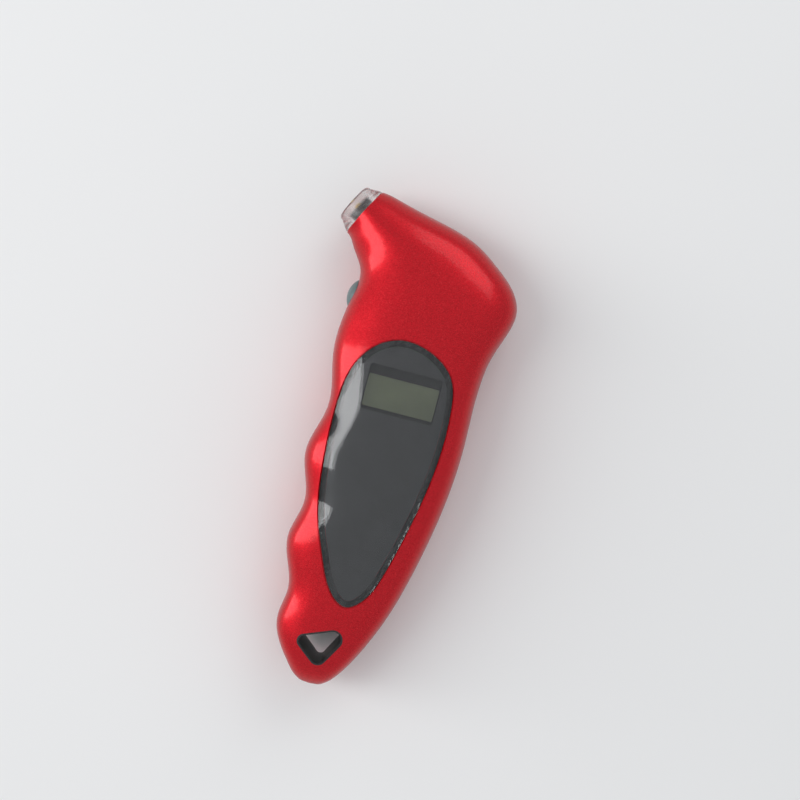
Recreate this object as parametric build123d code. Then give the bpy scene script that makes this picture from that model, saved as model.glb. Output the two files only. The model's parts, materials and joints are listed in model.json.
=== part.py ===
"""Digital tyre pressure gauge with a pistol-shaped two-shell housing.

The gauge lies on its back: +Y runs along the grip to the head, +Z is the display side.
Everything is modelled about the parting plane of the shells (z = 0) and lifted onto the
resting surface when it is written. Sizes are in millimetres.
"""
from build123d import *
import math
import os

# ---- housing outline, in the parting plane ----
TIP = (-3.2, -75.0)
FINGER_SIDE = [
    TIP, (-11.2, -70.3), (-17.7, -57.5), (-16.7, -48.5), (-20.7, -33.5), (-18.5, -21.5),
    (-21.9, -7.5), (-18.8, 7.5), (-21.3, 24.0), (-19.5, 44.0), (-20.4, 51.8), (-24.3, 58.1),
    (-26.9, 60.7),
]
PALM_SIDE = [
    TIP, (3.6, -71.5), (8.8, -63.3), (14.2, -51.2), (19.0, -34.5), (22.7, -15.0), (24.3, 5.0),
    (24.3, 25.0), (27.0, 38.4), (29.7, 47.0), (26.8, 55.2), (16.4, 63.8), (3.1, 69.4),
    (-12.4, 73.1), (-19.6, 74.7),
]
FINGER_END_DIRECTION = (-0.7, 0.71)
PALM_END_DIRECTION = (-0.98, 0.2)

# ---- section stations: level across the grip, then fanned round through the head ----
TIP_STEPS = (0.05, 0.4, 1.1, 2.2, 3.8, 6.0, 9.0, 12.5)
GRIP_SECTIONS = 20
HEAD_SECTIONS = 12
FAN_PIVOT = (-47.6, 20.0)
FAN_ANGLE = 62.0
FAN_RADIUS = 50.0
HEAD_END = FAN_PIVOT[1] + math.radians(FAN_ANGLE) * FAN_RADIUS

# ---- heights above and below the parting plane, and squareness, by distance along the body ----
FRONT_RISE = [(-75.0, 10.5), (-58.0, 11.6), (-35.0, 13.8), (-10.0, 15.0), (20.0, 15.3),
              (40.0, 14.8), (56.0, 12.6), (HEAD_END, 8.1)]
REAR_RISE = [(-75.0, 10.6), (-60.0, 12.6), (-46.0, 14.4), (-20.0, 14.8), (20.0, 14.9),
             (42.0, 14.3), (58.0, 12.0), (HEAD_END, 8.1)]
SQUARENESS = [(-75.0, 0.74), (-55.0, 0.82), (-30.0, 0.86), (20.0, 0.86), (45.0, 0.8),
              (60.0, 0.66), (HEAD_END, 0.5523)]
TIP_ROUNDING = 13.0
BACK_FLAT = 14.0
WALL = 2.4
SKIRT = 1.0
PARTING_GROOVE = (0.22, 0.35)
SECTION_LEAST = 1.0

# ---- display ----
LENS_OUTLINE = [
    (0.5, 32.2), (8.7, 30.0), (14.8, 24.9), (17.4, 15.0), (17.0, -4.0), (13.9, -22.0),
    (9.9, -37.6), (5.7, -46.1), (1.1, -48.7), (-3.1, -46.1), (-8.4, -36.6), (-12.9, -24.4),
    (-15.4, -8.0), (-15.9, 8.7), (-13.7, 21.9), (-7.3, 29.9),
]
LENS_STEPS = 48
LENS_TURN = -1
LENS_THICK = 1.4
LENS_GAP = 0.12
LENS_GROOVE = (0.4, 0.35)
LEDGE_WIDTH = 1.8
GLUE_THICK = 0.1
MASK_THICK = 0.2
MASK_WINDOW = (22.0, 13.8, 1.9, 16.7)
LCD_ACTIVE = (21.4, 9.7, 1.9, 15.7)
LCD_SIZE = (25.0, 14.2, 1.8)
LCD_CENTRE = (2.25, 15.9)
LCD_TOP = 11.2
BEZEL_TOP = 11.6
BEZEL_RIM = 1.0
BOARD_BOTTOM = 6.0
BOARD_THICK = 1.2
BOARD_TOP = BOARD_BOTTOM + BOARD_THICK
BOARD_OUTLINE = [
    (-12.5, -12.0), (12.5, -12.0), (15.5, 5.0), (16.0, 30.0), (18.0, 42.0), (15.5, 52.0),
    (4.0, 60.0), (-5.0, 64.0), (-8.5, 60.0), (-5.5, 52.0), (-9.0, 44.0), (-13.0, 30.0),
]
ZEBRA_SIZE = (23.0, 1.6)

# ---- nozzle, along its own axis: zero at the seam, outwards positive ----
NOZZLE_LENGTH = 5.0
NOZZLE_BASE_R = 7.95
NOZZLE_MOUTH_R = 6.25
SOCKET_R = 4.2
SEAL_R = 4.0
RELIEF_R = 4.4
RELIEF_END = 2.7
NECK_R = 5.5
NECK_DEPTH = 2.4
COLLAR_R = 6.6
COLLAR_DEPTH = 3.8
SEAL_BACK = 0.2
SEAL_FACE = 1.9
SEAL_BORE_R = 1.7
STEM_FLANGE_BACK = -0.6
STEM_R = 3.0
STEM_END = -14.0
BARB_R = 2.5
BARB_END = -20.0
AIR_BORE_R = 0.8
PIN_R = 1.1
PIN_TIP = 2.6
PIN_BASE_DEPTH = 1.0
RING_R = 0.49
TUBE_WALL = 1.0
TUBE_START = -14.3
TUBE_END = -27.0
PORT_START = -22.0
SENSOR_FACE = -28.5
SENSOR_SIZE = (12.0, 12.0)
SENSOR_BOTTOM = -4.0
LED_R = 1.5
LED_FRONT = -5.9
LED_BACK = -11.1
LED_OFFSET = 4.9
LEAD_R = 0.25

# ---- power button and its switch, pressed along +X ----
BUTTON_Y = 42.0
BUTTON_TIP = -21.6
BUTTON_HALF = (5.0, 3.9)
BUTTON_GAP = 0.3
BUTTON_FLANGE = (6.2, 5.1)
FLANGE_X = (-16.7, -15.7)
POST_R = 1.5
PLUNGER_X = -13.6
SWITCH_X = (-12.6, -7.0)
SWITCH_WIDTH = 7.0
SWITCH_BOTTOM = -3.4
PLUNGER_R = 1.7
PLUNGER_END = -11.9
PLUNGER_HOLE_END = -10.6

# ---- cells, compartment and cover ----
CELL_R = 5.8
CELL_THICK = 5.4
CELL_COUNT = 3
CELL_AXIS_Z = -5.7
CELL_FIRST_Y = -36.2
BAY = (-39.5, -16.5)
BAY_HALF = 6.9
BAY_WALL = 1.1
BAY_TOP = -0.6
COVER_HALF = 8.6
COVER_Y = (-47.4, -13.5)
COVER_CORNER = 3.0
COVER_GAP = 0.25
COVER_THICK = 1.3
COVER_LIP = 0.9
COVER_SCREW_Y = -43.3
CONTACT_THICK = 0.35

# ---- screws ----
HOUSING_SCREWS = [(-10.5, -50.0), (7.2, -54.0), (-12.2, 53.2), (21.0, 46.5)]
BOSS_R = 3.9
PILOT_R = 1.1
COUNTERBORE_R = 2.7
SCREW_HEAD_R = 2.3
SCREW_SEAT = -8.0
SCREW_HEAD_H = 1.7
SCREW_END = 6.0
FRONT_BOSS_R = 2.9
REACH = 40.0
MEASURE_STEP = 0.01
OUTER_PIECES = ("front_shell", "rear_shell", "nozzle_tip")

# ---- lanyard hole: three round lobes, (x, y, front radius, back radius) ----
LANYARD_LOBES = [(-7.8, -61.6, 2.2, 1.2), (0.4, -59.2, 3.0, 1.8), (-2.7, -65.3, 2.6, 1.5)]
EYELET_RIM = 0.45

# ---------------------------------------------------------------- outline and body


def along(profile, distance):
    """Height of a profile curve at a distance along the body."""
    low, high = 0.0, 1.0
    for _ in range(40):
        middle = (low + high) / 2
        if profile.position_at(middle, position_mode=PositionMode.PARAMETER).X < distance:
            low = middle
        else:
            high = middle
    return profile.position_at(low, position_mode=PositionMode.PARAMETER).Y


def crossing(side, origin, angle):
    """Point where a side of the outline meets the line through origin at angle."""
    across = (-math.sin(angle), math.cos(angle))
    low, high = 0.0, 1.0
    for _ in range(40):
        middle = (low + high) / 2
        point = side.position_at(middle, position_mode=PositionMode.PARAMETER)
        if (point.X - origin[0]) * across[0] + (point.Y - origin[1]) * across[1] < 0:
            low = middle
        else:
            high = middle
    return side.position_at(high, position_mode=PositionMode.PARAMETER)


FINGER = Spline(*FINGER_SIDE, tangents=[(-1, 0), FINGER_END_DIRECTION])
PALM = Spline(*PALM_SIDE, tangents=[(1, 0), PALM_END_DIRECTION])
RISES = {1: Spline(*FRONT_RISE), -1: Spline(*REAR_RISE)}
SQUARE = Spline(*SQUARENESS)


def stations():
    """(line origin, line angle, distance along the body) of every section."""
    lines = [((0, TIP[1] + step), 0.0, TIP[1] + step) for step in TIP_STEPS]
    start = TIP[1] + TIP_STEPS[-1]
    pitch = (FAN_PIVOT[1] - start) / GRIP_SECTIONS
    for index in range(1, GRIP_SECTIONS + 1):
        level = start + pitch * index
        lines.append(((0, level), 0.0, level))
    for index in range(1, HEAD_SECTIONS + 1):
        angle = math.radians(FAN_ANGLE) * index / HEAD_SECTIONS
        lines.append((FAN_PIVOT, angle, FAN_PIVOT[1] + angle * FAN_RADIUS))
    return lines


STATIONS = stations()
SEAM_LOW = crossing(FINGER, FAN_PIVOT, math.radians(FAN_ANGLE))
SEAM_HIGH = crossing(PALM, FAN_PIVOT, math.radians(FAN_ANGLE))
NOZZLE_AT = (SEAM_LOW + SEAM_HIGH) / 2
NOZZLE_DIRECTION = Vector(-1, 0, 0).rotate(Axis.Z, FAN_ANGLE - 90)


def section(station, inset, side, skirt):
    """Half section: two squared quarter curves on a chord in the parting plane."""
    origin, angle, distance = station
    low = crossing(FINGER, origin, angle)
    high = crossing(PALM, origin, angle)
    across = (high - low).normalized()
    half_width = (high - low).length / 2 - inset
    from_tip = distance - TIP[1]
    rise = along(RISES[side], distance)
    if from_tip < TIP_ROUNDING:
        rise *= math.sqrt(1 - (1 - from_tip / TIP_ROUNDING) ** 2)
    rise -= inset
    if inset and min(half_width, rise) < SECTION_LEAST:
        return None
    square = along(SQUARE, distance)
    middle = (low + high) / 2
    up = Vector(0, 0, side)
    crown = middle + up * rise
    right = middle + across * half_width
    left = middle - across * half_width
    curves = [
        Bezier(right, right + up * square * rise, crown + across * square * half_width, crown),
        Bezier(crown, crown - across * square * half_width, left + up * square * rise, left),
    ]
    if not skirt:
        return Wire([Line(left, right)] + curves)
    below = up * -skirt
    sides = [Line(left, left + below), Line(left + below, right + below), Line(right + below, right)]
    return Wire(sides + curves)


def half_body(inset, side, skirt=0.0):
    """Solid half of the body, drawn in from the skin by inset."""
    lines = STATIONS[:-1] if inset > PARTING_GROOVE[0] else STATIONS
    wires = [section(line, inset, side, skirt) for line in lines]
    return Solid.make_loft([wire for wire in wires if wire])


def prism(face, low, high):
    """Upright prism of a flat face between two heights."""
    return extrude(Pos(0, 0, low) * face, high - low)


def post(x, y, radius, low, high):
    """Upright round post."""
    return Pos(x, y, (low + high) / 2) * Cylinder(radius, high - low)


def block(x, y, low, high):
    """Upright box over an x range and a y range."""
    size = (x[1] - x[0], y[1] - y[0], high - low)
    return Pos((x[0] + x[1]) / 2, (y[0] + y[1]) / 2, (low + high) / 2) * Box(*size)


FRONT_BODY = half_body(0, 1)
REAR_BODY = half_body(0, -1) - block((-REACH, REACH), (-REACH * 2, REACH * 2), -REACH, -BACK_FLAT)
LENS_EDGE = Spline(*LENS_OUTLINE, periodic=True)


# ---------------------------------------------------------------- nozzle pieces


def on_nozzle(shape):
    """Turn a shape made along +Z onto the nozzle axis, with its zero at the seam."""
    return Plane(origin=NOZZLE_AT, x_dir=(0, 0, 1), z_dir=NOZZLE_DIRECTION) * shape


def rod(radius, low, high):
    """Round rod on the nozzle axis."""
    return on_nozzle(Pos(0, 0, (low + high) / 2) * Cylinder(radius, high - low))


def turned(points):
    """Solid turned about the nozzle axis from (radius, distance) points."""
    profile = make_face(Polyline(*[(r, 0, z) for r, z in points], close=True))
    return on_nozzle(revolve(profile, Axis.Z))


def nozzle_tip():
    """Clear nozzle: outer cone with a soft mouth, neck and trapped collar."""
    outer = turned([
        (0, -COLLAR_DEPTH), (COLLAR_R, -COLLAR_DEPTH), (COLLAR_R, -NECK_DEPTH),
        (NECK_R, -NECK_DEPTH), (NECK_R, 0), (NOZZLE_BASE_R, 0), (NOZZLE_BASE_R - 0.3, 1.2),
        (NOZZLE_MOUTH_R + 0.35, NOZZLE_LENGTH - 1.3), (NOZZLE_MOUTH_R - 0.1, NOZZLE_LENGTH - 0.45),
        (NOZZLE_MOUTH_R - 0.75, NOZZLE_LENGTH), (0, NOZZLE_LENGTH),
    ])
    mouth = turned([
        (0, -REACH), (SEAL_R, -REACH), (SEAL_R, SEAL_FACE), (RELIEF_R, SEAL_FACE),
        (RELIEF_R, RELIEF_END), (SOCKET_R, RELIEF_END), (SOCKET_R, NOZZLE_LENGTH - 0.4),
        (SOCKET_R + 0.5, NOZZLE_LENGTH + 0.1), (0, NOZZLE_LENGTH + 0.1),
    ])
    return outer - mouth


def nozzle_seal():
    """Rubber face seal round the pin."""
    return rod(SEAL_R, SEAL_BACK, SEAL_FACE) - rod(SEAL_BORE_R, SEAL_BACK - 1, SEAL_FACE + 1)


def nozzle_stem():
    """Brass stem: flange, shank and hose barb with an air bore and a pin seat."""
    body = rod(SEAL_R, STEM_FLANGE_BACK, SEAL_BACK)
    body += rod(STEM_R, STEM_END, STEM_FLANGE_BACK)
    body += turned([(0, BARB_END), (BARB_R - 0.6, BARB_END), (BARB_R, BARB_END + 2), (BARB_R, STEM_END),
                    (0, STEM_END)])
    body -= rod(AIR_BORE_R, BARB_END - 1, SEAL_BACK + 1)
    return body - rod(SEAL_BORE_R, SEAL_BACK - PIN_BASE_DEPTH, SEAL_BACK + 1)


def valve_pin():
    """Brass pin that opens the valve core, with air slots through its base."""
    base = rod(SEAL_BORE_R, SEAL_BACK - PIN_BASE_DEPTH, SEAL_BACK)
    slot = on_nozzle(Pos(0, 0, SEAL_BACK) * Box(SEAL_BORE_R * 4, 0.6, PIN_BASE_DEPTH * 2))
    tip = turned([(0, SEAL_BACK - PIN_BASE_DEPTH), (PIN_R, SEAL_BACK - PIN_BASE_DEPTH),
                  (PIN_R, PIN_TIP - 0.4), (PIN_R - 0.4, PIN_TIP), (0, PIN_TIP)])
    return base - (slot - rod(PIN_R, SEAL_BACK - 3, SEAL_BACK + 3)) + tip


def stem_ring():
    """O-ring between the stem and the nozzle."""
    gap_middle = (STEM_R + SEAL_R) / 2
    return on_nozzle(Pos(0, 0, STEM_FLANGE_BACK - 1.2) * Torus(gap_middle, RING_R))


def air_tube():
    """Silicone tube from the barb to the sensor port."""
    return rod(BARB_R + TUBE_WALL, TUBE_END, TUBE_START) - rod(BARB_R, TUBE_END - 1, TUBE_START + 1)


def pressure_sensor():
    """Sensor block under the board with a port that takes the tube."""
    depth, width = SENSOR_SIZE
    height = BOARD_BOTTOM - SENSOR_BOTTOM
    middle = (BOARD_BOTTOM + SENSOR_BOTTOM) / 2
    case = on_nozzle(Pos(middle, 0, SENSOR_FACE - depth / 2) * Box(height, width, depth))
    case = fillet(case.edges().filter_by(Axis.Z), 1.0)
    return case + rod(BARB_R, SENSOR_FACE, PORT_START) - rod(AIR_BORE_R, SENSOR_FACE - 4, PORT_START + 1)


def nozzle_led():
    """Light that shines into the clear nozzle, with two leads up to the board."""
    bulb = on_nozzle(Pos(0, LED_OFFSET, (LED_FRONT + LED_BACK) / 2 - LED_R / 4)
                     * Cylinder(LED_R, LED_FRONT - LED_BACK - LED_R / 2))
    bulb += on_nozzle(Pos(0, LED_OFFSET, LED_FRONT - LED_R) * Sphere(LED_R))
    for shift in (-0.7, 0.7):
        run = 3.0 + shift
        lead = on_nozzle(Pos(0, LED_OFFSET + shift, LED_BACK - run / 2) * Cylinder(LEAD_R, run + LEAD_R * 2))
        riser = Pos(0, 0, BOARD_BOTTOM / 2) * Cylinder(LEAD_R, BOARD_BOTTOM)
        foot = NOZZLE_AT + NOZZLE_DIRECTION * (LED_BACK - run)
        foot += NOZZLE_DIRECTION.cross(Vector(0, 0, 1)) * (LED_OFFSET + shift)
        bulb += lead
        bulb += Pos(foot.X, foot.Y, 0) * riser
    return bulb


# ---------------------------------------------------------------- shells and skin pieces


def ellipse_bar(half_y, half_z, start, end):
    """Bar of elliptical section along X at the button's height."""
    face = Plane(origin=(start, BUTTON_Y, 0), x_dir=(0, 1, 0), z_dir=(1, 0, 0)) * Ellipse(half_y, half_z)
    return extrude(face, end - start)


def lobe_face(radii):
    """Flat hull round the three lobes of the lanyard hole."""
    rings = [Pos(x, y) * CenterArc((0, 0), radius, 0, 360) for (x, y, _, _), radius in
             zip(LANYARD_LOBES, radii)]
    return make_hull(rings)


HOLE_PRISM = prism(lobe_face([lobe[2] for lobe in LANYARD_LOBES]), -REACH / 2, REACH / 2)


def lanyard_eyelet():
    """Black liner of the lanyard hole, its bore narrowing towards the back."""
    liner = (FRONT_BODY & HOLE_PRISM) + (REAR_BODY & HOLE_PRISM)
    top = Pos(0, 0, BACK_FLAT) * lobe_face([lobe[2] - EYELET_RIM for lobe in LANYARD_LOBES])
    bottom = Pos(0, 0, -BACK_FLAT) * lobe_face([lobe[3] for lobe in LANYARD_LOBES])
    return liner - loft([bottom, top], ruled=True)


def nozzle_seat():
    """Neck bore and collar groove that both shells share."""
    return rod(NECK_R, -REACH / 4, 1) + rod(COLLAR_R, -COLLAR_DEPTH, -NECK_DEPTH)


def lens_prism(grow):
    """Upright prism of the lens outline, grown or shrunk."""
    edge = LENS_EDGE
    if grow:
        spots = [index / LENS_STEPS for index in range(LENS_STEPS)]
        outward = [(LENS_EDGE % spot).cross(Vector(0, 0, LENS_TURN)) for spot in spots]
        edge = Spline(*[LENS_EDGE @ spot + away * grow for spot, away in zip(spots, outward)], periodic=True)
    return prism(make_face(edge), 2, REACH / 2)


def parting_groove():
    """Fine step round the body at the joint of the shells."""
    depth, height = PARTING_GROOVE
    band = block((-REACH, REACH), (-REACH * 2, REACH * 2), -SKIRT / 2, height)
    return band - half_body(depth, 1, SKIRT)


def front_shell():
    """Display side of the housing."""
    shell = FRONT_BODY - half_body(WALL, 1, SKIRT)
    for x, y in HOUSING_SCREWS:
        shell += post(x, y, FRONT_BOSS_R, 0, REACH / 2) & FRONT_BODY
        shell -= post(x, y, PILOT_R, -1, SCREW_END + 1)
    shell -= lens_prism(LENS_GAP) - half_body(LENS_THICK + GLUE_THICK, 1, SKIRT)
    shell -= lens_prism(LENS_GROOVE[0]) - half_body(LENS_GROOVE[1], 1, SKIRT)
    shell -= lens_prism(-LEDGE_WIDTH)
    shell -= parting_groove()
    shell -= HOLE_PRISM
    shell -= ellipse_bar(BUTTON_HALF[0] + BUTTON_GAP, BUTTON_HALF[1] + BUTTON_GAP, -REACH, FLANGE_X[1])
    return shell - nozzle_seat()


def display_lens():
    """Clear leaf-shaped lens that follows the crown of the housing."""
    return (FRONT_BODY & lens_prism(0)) - half_body(LENS_THICK, 1, SKIRT)


def lens_adhesive():
    """Thin ring of adhesive on the ledge."""
    ring = lens_prism(-0.05) - lens_prism(-LEDGE_WIDTH - 0.06)
    return (ring & half_body(LENS_THICK, 1, SKIRT)) - half_body(LENS_THICK + GLUE_THICK, 1, SKIRT)


def window(size, low, high, corner=0.8):
    """Upright prism of a display window."""
    width, height, x, y = size
    return prism(Pos(x, y) * RectangleRounded(width, height, corner), low, high)


def display_mask():
    """Black film behind the lens with the display window cut out."""
    film = lens_prism(-LEDGE_WIDTH - 0.1) & half_body(LENS_THICK + 0.02, 1, SKIRT)
    film -= half_body(LENS_THICK + 0.02 + MASK_THICK, 1, SKIRT)
    return film - window(MASK_WINDOW, 2, REACH / 2)


def rounded_slab(size, centre, low, high, corner):
    """Upright slab with rounded corners."""
    return prism(Pos(*centre) * RectangleRounded(size[0], size[1], corner), low, high)


def lcd_panel():
    """Glass sandwich: lower glass with a contact ledge and upper glass."""
    lower = rounded_slab(LCD_SIZE, LCD_CENTRE, LCD_TOP - LCD_SIZE[2], LCD_TOP - LCD_SIZE[2] / 2, 0.3)
    upper_size = (LCD_SIZE[0], LCD_SIZE[1] - 2.0)
    upper = rounded_slab(upper_size, (LCD_CENTRE[0], LCD_CENTRE[1] + 1.0), LCD_TOP - LCD_SIZE[2] / 2,
                         LCD_TOP, 0.3)
    return lower + upper


def lcd_bezel():
    """Frame that clips the glass to the board."""
    outer = (LCD_SIZE[0] + 2 * BEZEL_RIM, LCD_SIZE[1] + 2 * BEZEL_RIM)
    pocket = (LCD_SIZE[0] + 0.1, LCD_SIZE[1] + 0.1)
    frame = rounded_slab(outer, LCD_CENTRE, BOARD_TOP, BEZEL_TOP, 1.0)
    frame -= rounded_slab(pocket, LCD_CENTRE, BOARD_TOP - 1, LCD_TOP, 0.35)
    return frame - window(LCD_ACTIVE, BOARD_TOP, BEZEL_TOP + 1, 0.4)


def lcd_backlight():
    """Light guide under the glass."""
    size = (LCD_SIZE[0] - 1.0, LCD_SIZE[1] - 4.0)
    return rounded_slab(size, (LCD_CENTRE[0], LCD_CENTRE[1] + 1.8), BOARD_TOP, LCD_TOP - LCD_SIZE[2], 0.5)


def zebra_strip():
    """Rubber connector strip between the glass and the board."""
    y = LCD_CENTRE[1] - LCD_SIZE[1] / 2 + ZEBRA_SIZE[1]
    return rounded_slab(ZEBRA_SIZE, (LCD_CENTRE[0], y), BOARD_TOP, LCD_TOP - LCD_SIZE[2], 0.2)


def circuit_board():
    """Main board across the grip and the head."""
    face = make_face(Polyline(*BOARD_OUTLINE, close=True))
    board = fillet(prism(face, BOARD_BOTTOM, BOARD_TOP).edges().filter_by(Axis.Z), 1.5)
    return board


def control_chip():
    """Epoxy-covered chip under the board."""
    drop = Pos(0, 0, BOARD_BOTTOM) * scale(Sphere(1), by=(5.0, 5.0, 1.6))
    return drop & block((-9, 9), (-9, 9), 0, BOARD_BOTTOM)


def board_components():
    """Crystal, capacitors and resistors under the board."""
    parts = [block((x, x + 2.0), (y, y + 1.2), BOARD_BOTTOM - 0.6, BOARD_BOTTOM)
             for x in (8.0, 11.5) for y in (-6.0, -2.0, 2.0, 6.0)]
    parts.append(block((-11.0, -8.0), (6.0, 14.0), BOARD_BOTTOM - 3.0, BOARD_BOTTOM))
    return Compound(parts)


def cover_face(shrink):
    """Flat rounded outline of the battery cover."""
    length = COVER_Y[1] - COVER_Y[0]
    middle = (COVER_Y[0] + COVER_Y[1]) / 2
    return Pos(0, middle) * RectangleRounded(2 * (COVER_HALF - shrink), length - 2 * shrink,
                                             COVER_CORNER - shrink)


def rear_shell():
    """Back of the housing, with screw bosses, the cell bay and the cover seat."""
    shell = REAR_BODY - half_body(WALL, -1, SKIRT)
    floor = -BACK_FLAT + WALL
    shell += block((-REACH, REACH), BAY, -BACK_FLAT, floor) & REAR_BODY
    for x, y in HOUSING_SCREWS:
        shell += post(x, y, BOSS_R, -REACH / 2, 0) & REAR_BODY
    outer_half = BAY_HALF + BAY_WALL
    bay = block((-outer_half, outer_half), (BAY[0] - BAY_WALL, BAY[1] + BAY_WALL), -BACK_FLAT, BAY_TOP)
    shell += bay
    shell += post(0, COVER_SCREW_Y, 2.9, -BACK_FLAT, SCREW_SEAT + 3)
    shell -= block((-BAY_HALF, BAY_HALF), BAY, -REACH, 1)
    for x, y in HOUSING_SCREWS:
        shell -= post(x, y, COUNTERBORE_R, -REACH, SCREW_SEAT)
        shell -= post(x, y, PILOT_R + 0.25, -REACH, 1)
    shell -= prism(cover_face(0), -REACH, -BACK_FLAT + COVER_THICK + 0.1)
    shell -= post(0, COVER_SCREW_Y, 3.35, -REACH, -BACK_FLAT + 2.7)
    shell -= post(0, COVER_SCREW_Y, 1.05, -REACH, SCREW_SEAT + 2)
    shell -= HOLE_PRISM
    shell -= ellipse_bar(BUTTON_HALF[0] + BUTTON_GAP, BUTTON_HALF[1] + BUTTON_GAP, -REACH, FLANGE_X[1])
    return shell - nozzle_seat()


def battery_cover():
    """Flush cover over the cell bay, with a locating lip and a screw recess."""
    plate = prism(cover_face(COVER_GAP), -BACK_FLAT, -BACK_FLAT + COVER_THICK)
    plate = chamfer(plate.faces().sort_by(Axis.Z)[0].edges(), 0.3)
    lip_x = BAY_HALF - 0.4
    lip = block((-lip_x, lip_x), (BAY[0] + 0.4, BAY[1] - 0.4), -BACK_FLAT, -BACK_FLAT + COVER_THICK + COVER_LIP)
    lip -= block((-lip_x + 1, lip_x - 1), (BAY[0] + 1.4, BAY[1] - 1.4), -BACK_FLAT + COVER_THICK, 0)
    lip &= block((-lip_x, lip_x), BAY, -BACK_FLAT + COVER_THICK / 2, 0)
    plate += lip
    plate += post(0, COVER_SCREW_Y, 3.0, -BACK_FLAT + 0.5, -BACK_FLAT + 2.5)
    plate -= post(0, COVER_SCREW_Y, 2.2, -REACH, -BACK_FLAT + 1.5)
    plate -= post(0, COVER_SCREW_Y, 1.3, -REACH, 0)
    for index in range(4):
        y = COVER_Y[1] - 3.5 - index * 1.6
        plate -= block((-3.5, 3.5), (y - 0.35, y + 0.35), -BACK_FLAT - 1, -BACK_FLAT + 0.4)
    return plate


def cross_slot(x, y, low, high, reach):
    """Cross recess of a screw head."""
    return block((x - reach, x + reach), (y - 0.3, y + 0.3), low, high) + \
        block((x - 0.3, x + 0.3), (y - reach, y + reach), low, high)


def battery_cover_screw():
    """Small captive screw of the battery cover."""
    head_low = -BACK_FLAT + 0.1
    screw = post(0, COVER_SCREW_Y, 1.9, head_low, head_low + 1.3)
    screw += post(0, COVER_SCREW_Y, 1.0, head_low + 1.3, SCREW_SEAT + 1)
    return screw - cross_slot(0, COVER_SCREW_Y, head_low - 1, head_low + 0.7, 1.3)


def housing_screws():
    """Four self-tapping screws that hold the shells together."""
    screws = []
    for x, y in HOUSING_SCREWS:
        screw = post(x, y, SCREW_HEAD_R, SCREW_SEAT - SCREW_HEAD_H, SCREW_SEAT)
        screw += post(x, y, PILOT_R, SCREW_SEAT, SCREW_END)
        screws.append(screw - cross_slot(x, y, -REACH, SCREW_SEAT - SCREW_HEAD_H + 0.9, 1.5))
    return Compound(screws)


# ---------------------------------------------------------------- button, switch and cells


def power_button():
    """Domed oval button with a retaining flange and a post to the switch."""
    depth = FLANGE_X[0] - BUTTON_TIP
    dome = Pos(FLANGE_X[0], BUTTON_Y, 0) * scale(
        Sphere(1), by=(depth, BUTTON_HALF[0] + 0.9, BUTTON_HALF[1] + 0.8))
    button = ellipse_bar(*BUTTON_HALF, BUTTON_TIP - 1, FLANGE_X[0]) & dome
    button += ellipse_bar(*BUTTON_FLANGE, *FLANGE_X)
    return button + extrude(Plane(origin=(FLANGE_X[1], BUTTON_Y, 0), z_dir=(1, 0, 0)) * Circle(POST_R),
                            PLUNGER_X - FLANGE_X[1])


def side_bar(radius, start, end):
    """Round bar along X at the button's height."""
    return extrude(Plane(origin=(start, BUTTON_Y, 0), z_dir=(1, 0, 0)) * Circle(radius), end - start)


def switch_plunger():
    """Plunger of the tactile switch."""
    return side_bar(PLUNGER_R, PLUNGER_X, PLUNGER_END)


def tactile_switch():
    """Right-angle tactile switch under the board."""
    half = SWITCH_WIDTH / 2
    body = block(SWITCH_X, (BUTTON_Y - half, BUTTON_Y + half), SWITCH_BOTTOM, BOARD_BOTTOM)
    return body - side_bar(PLUNGER_R + 0.3, SWITCH_X[0] - 1, PLUNGER_HOLE_END)


def battery_cell(index):
    """Button cell with its smaller negative step towards the spring."""
    y = CELL_FIRST_Y + index * CELL_THICK
    axis = Plane(origin=(0, y, CELL_AXIS_Z), z_dir=(0, 1, 0))
    can = extrude(axis * Circle(CELL_R), CELL_THICK) - extrude(axis * Circle(CELL_R), 0.7)
    return can + extrude(axis * Circle(CELL_R - 1.3), 0.8)


def battery_spring():
    """Negative contact: a flat cone of coil on a plate, with an arm along the bay to the board."""
    plate = block((-5.5, 5.5), (BAY[0], BAY[0] + CONTACT_THICK), CELL_AXIS_Z - 5, BAY_TOP - 0.4)
    turns = 2.5
    height = CELL_FIRST_Y - BAY[0] - CONTACT_THICK - 0.9
    path = Helix(height / turns, height, 3.4, cone_angle=-20)
    coil = sweep(Plane(path @ 0, z_dir=path % 0) * Circle(0.3), path, is_frenet=True)
    coil = Plane(origin=(0, BAY[0] + CONTACT_THICK + 0.2, CELL_AXIS_Z), z_dir=(0, 1, 0)) * coil
    arm = block((5.1, 6.4), (BAY[0], BAY[0] + CONTACT_THICK), CELL_AXIS_Z, BAY_TOP + 1.4)
    arm += block((5.1, 6.4), (BAY[0], -9.0), BAY_TOP + 1.4, BAY_TOP + 1.4 + CONTACT_THICK)
    arm += block((5.1, 6.4), (-9.0, -9.0 + CONTACT_THICK), BAY_TOP + 1.4, BOARD_BOTTOM)
    return plate + coil + arm


def battery_contact():
    """Positive contact plate with a tab up to the board."""
    end = CELL_FIRST_Y + CELL_COUNT * CELL_THICK
    plate = block((-4.5, 4.5), (end, end + CONTACT_THICK), CELL_AXIS_Z - 4.5, BAY_TOP + 1.4)
    plate += block((-4.5, -2.0), (end, -9.0), BAY_TOP + 1.4, BAY_TOP + 1.4 + CONTACT_THICK)
    return plate + block((-4.5, -2.0), (-9.0, -9.0 + CONTACT_THICK), BAY_TOP + 1.4, BOARD_BOTTOM)


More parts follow.
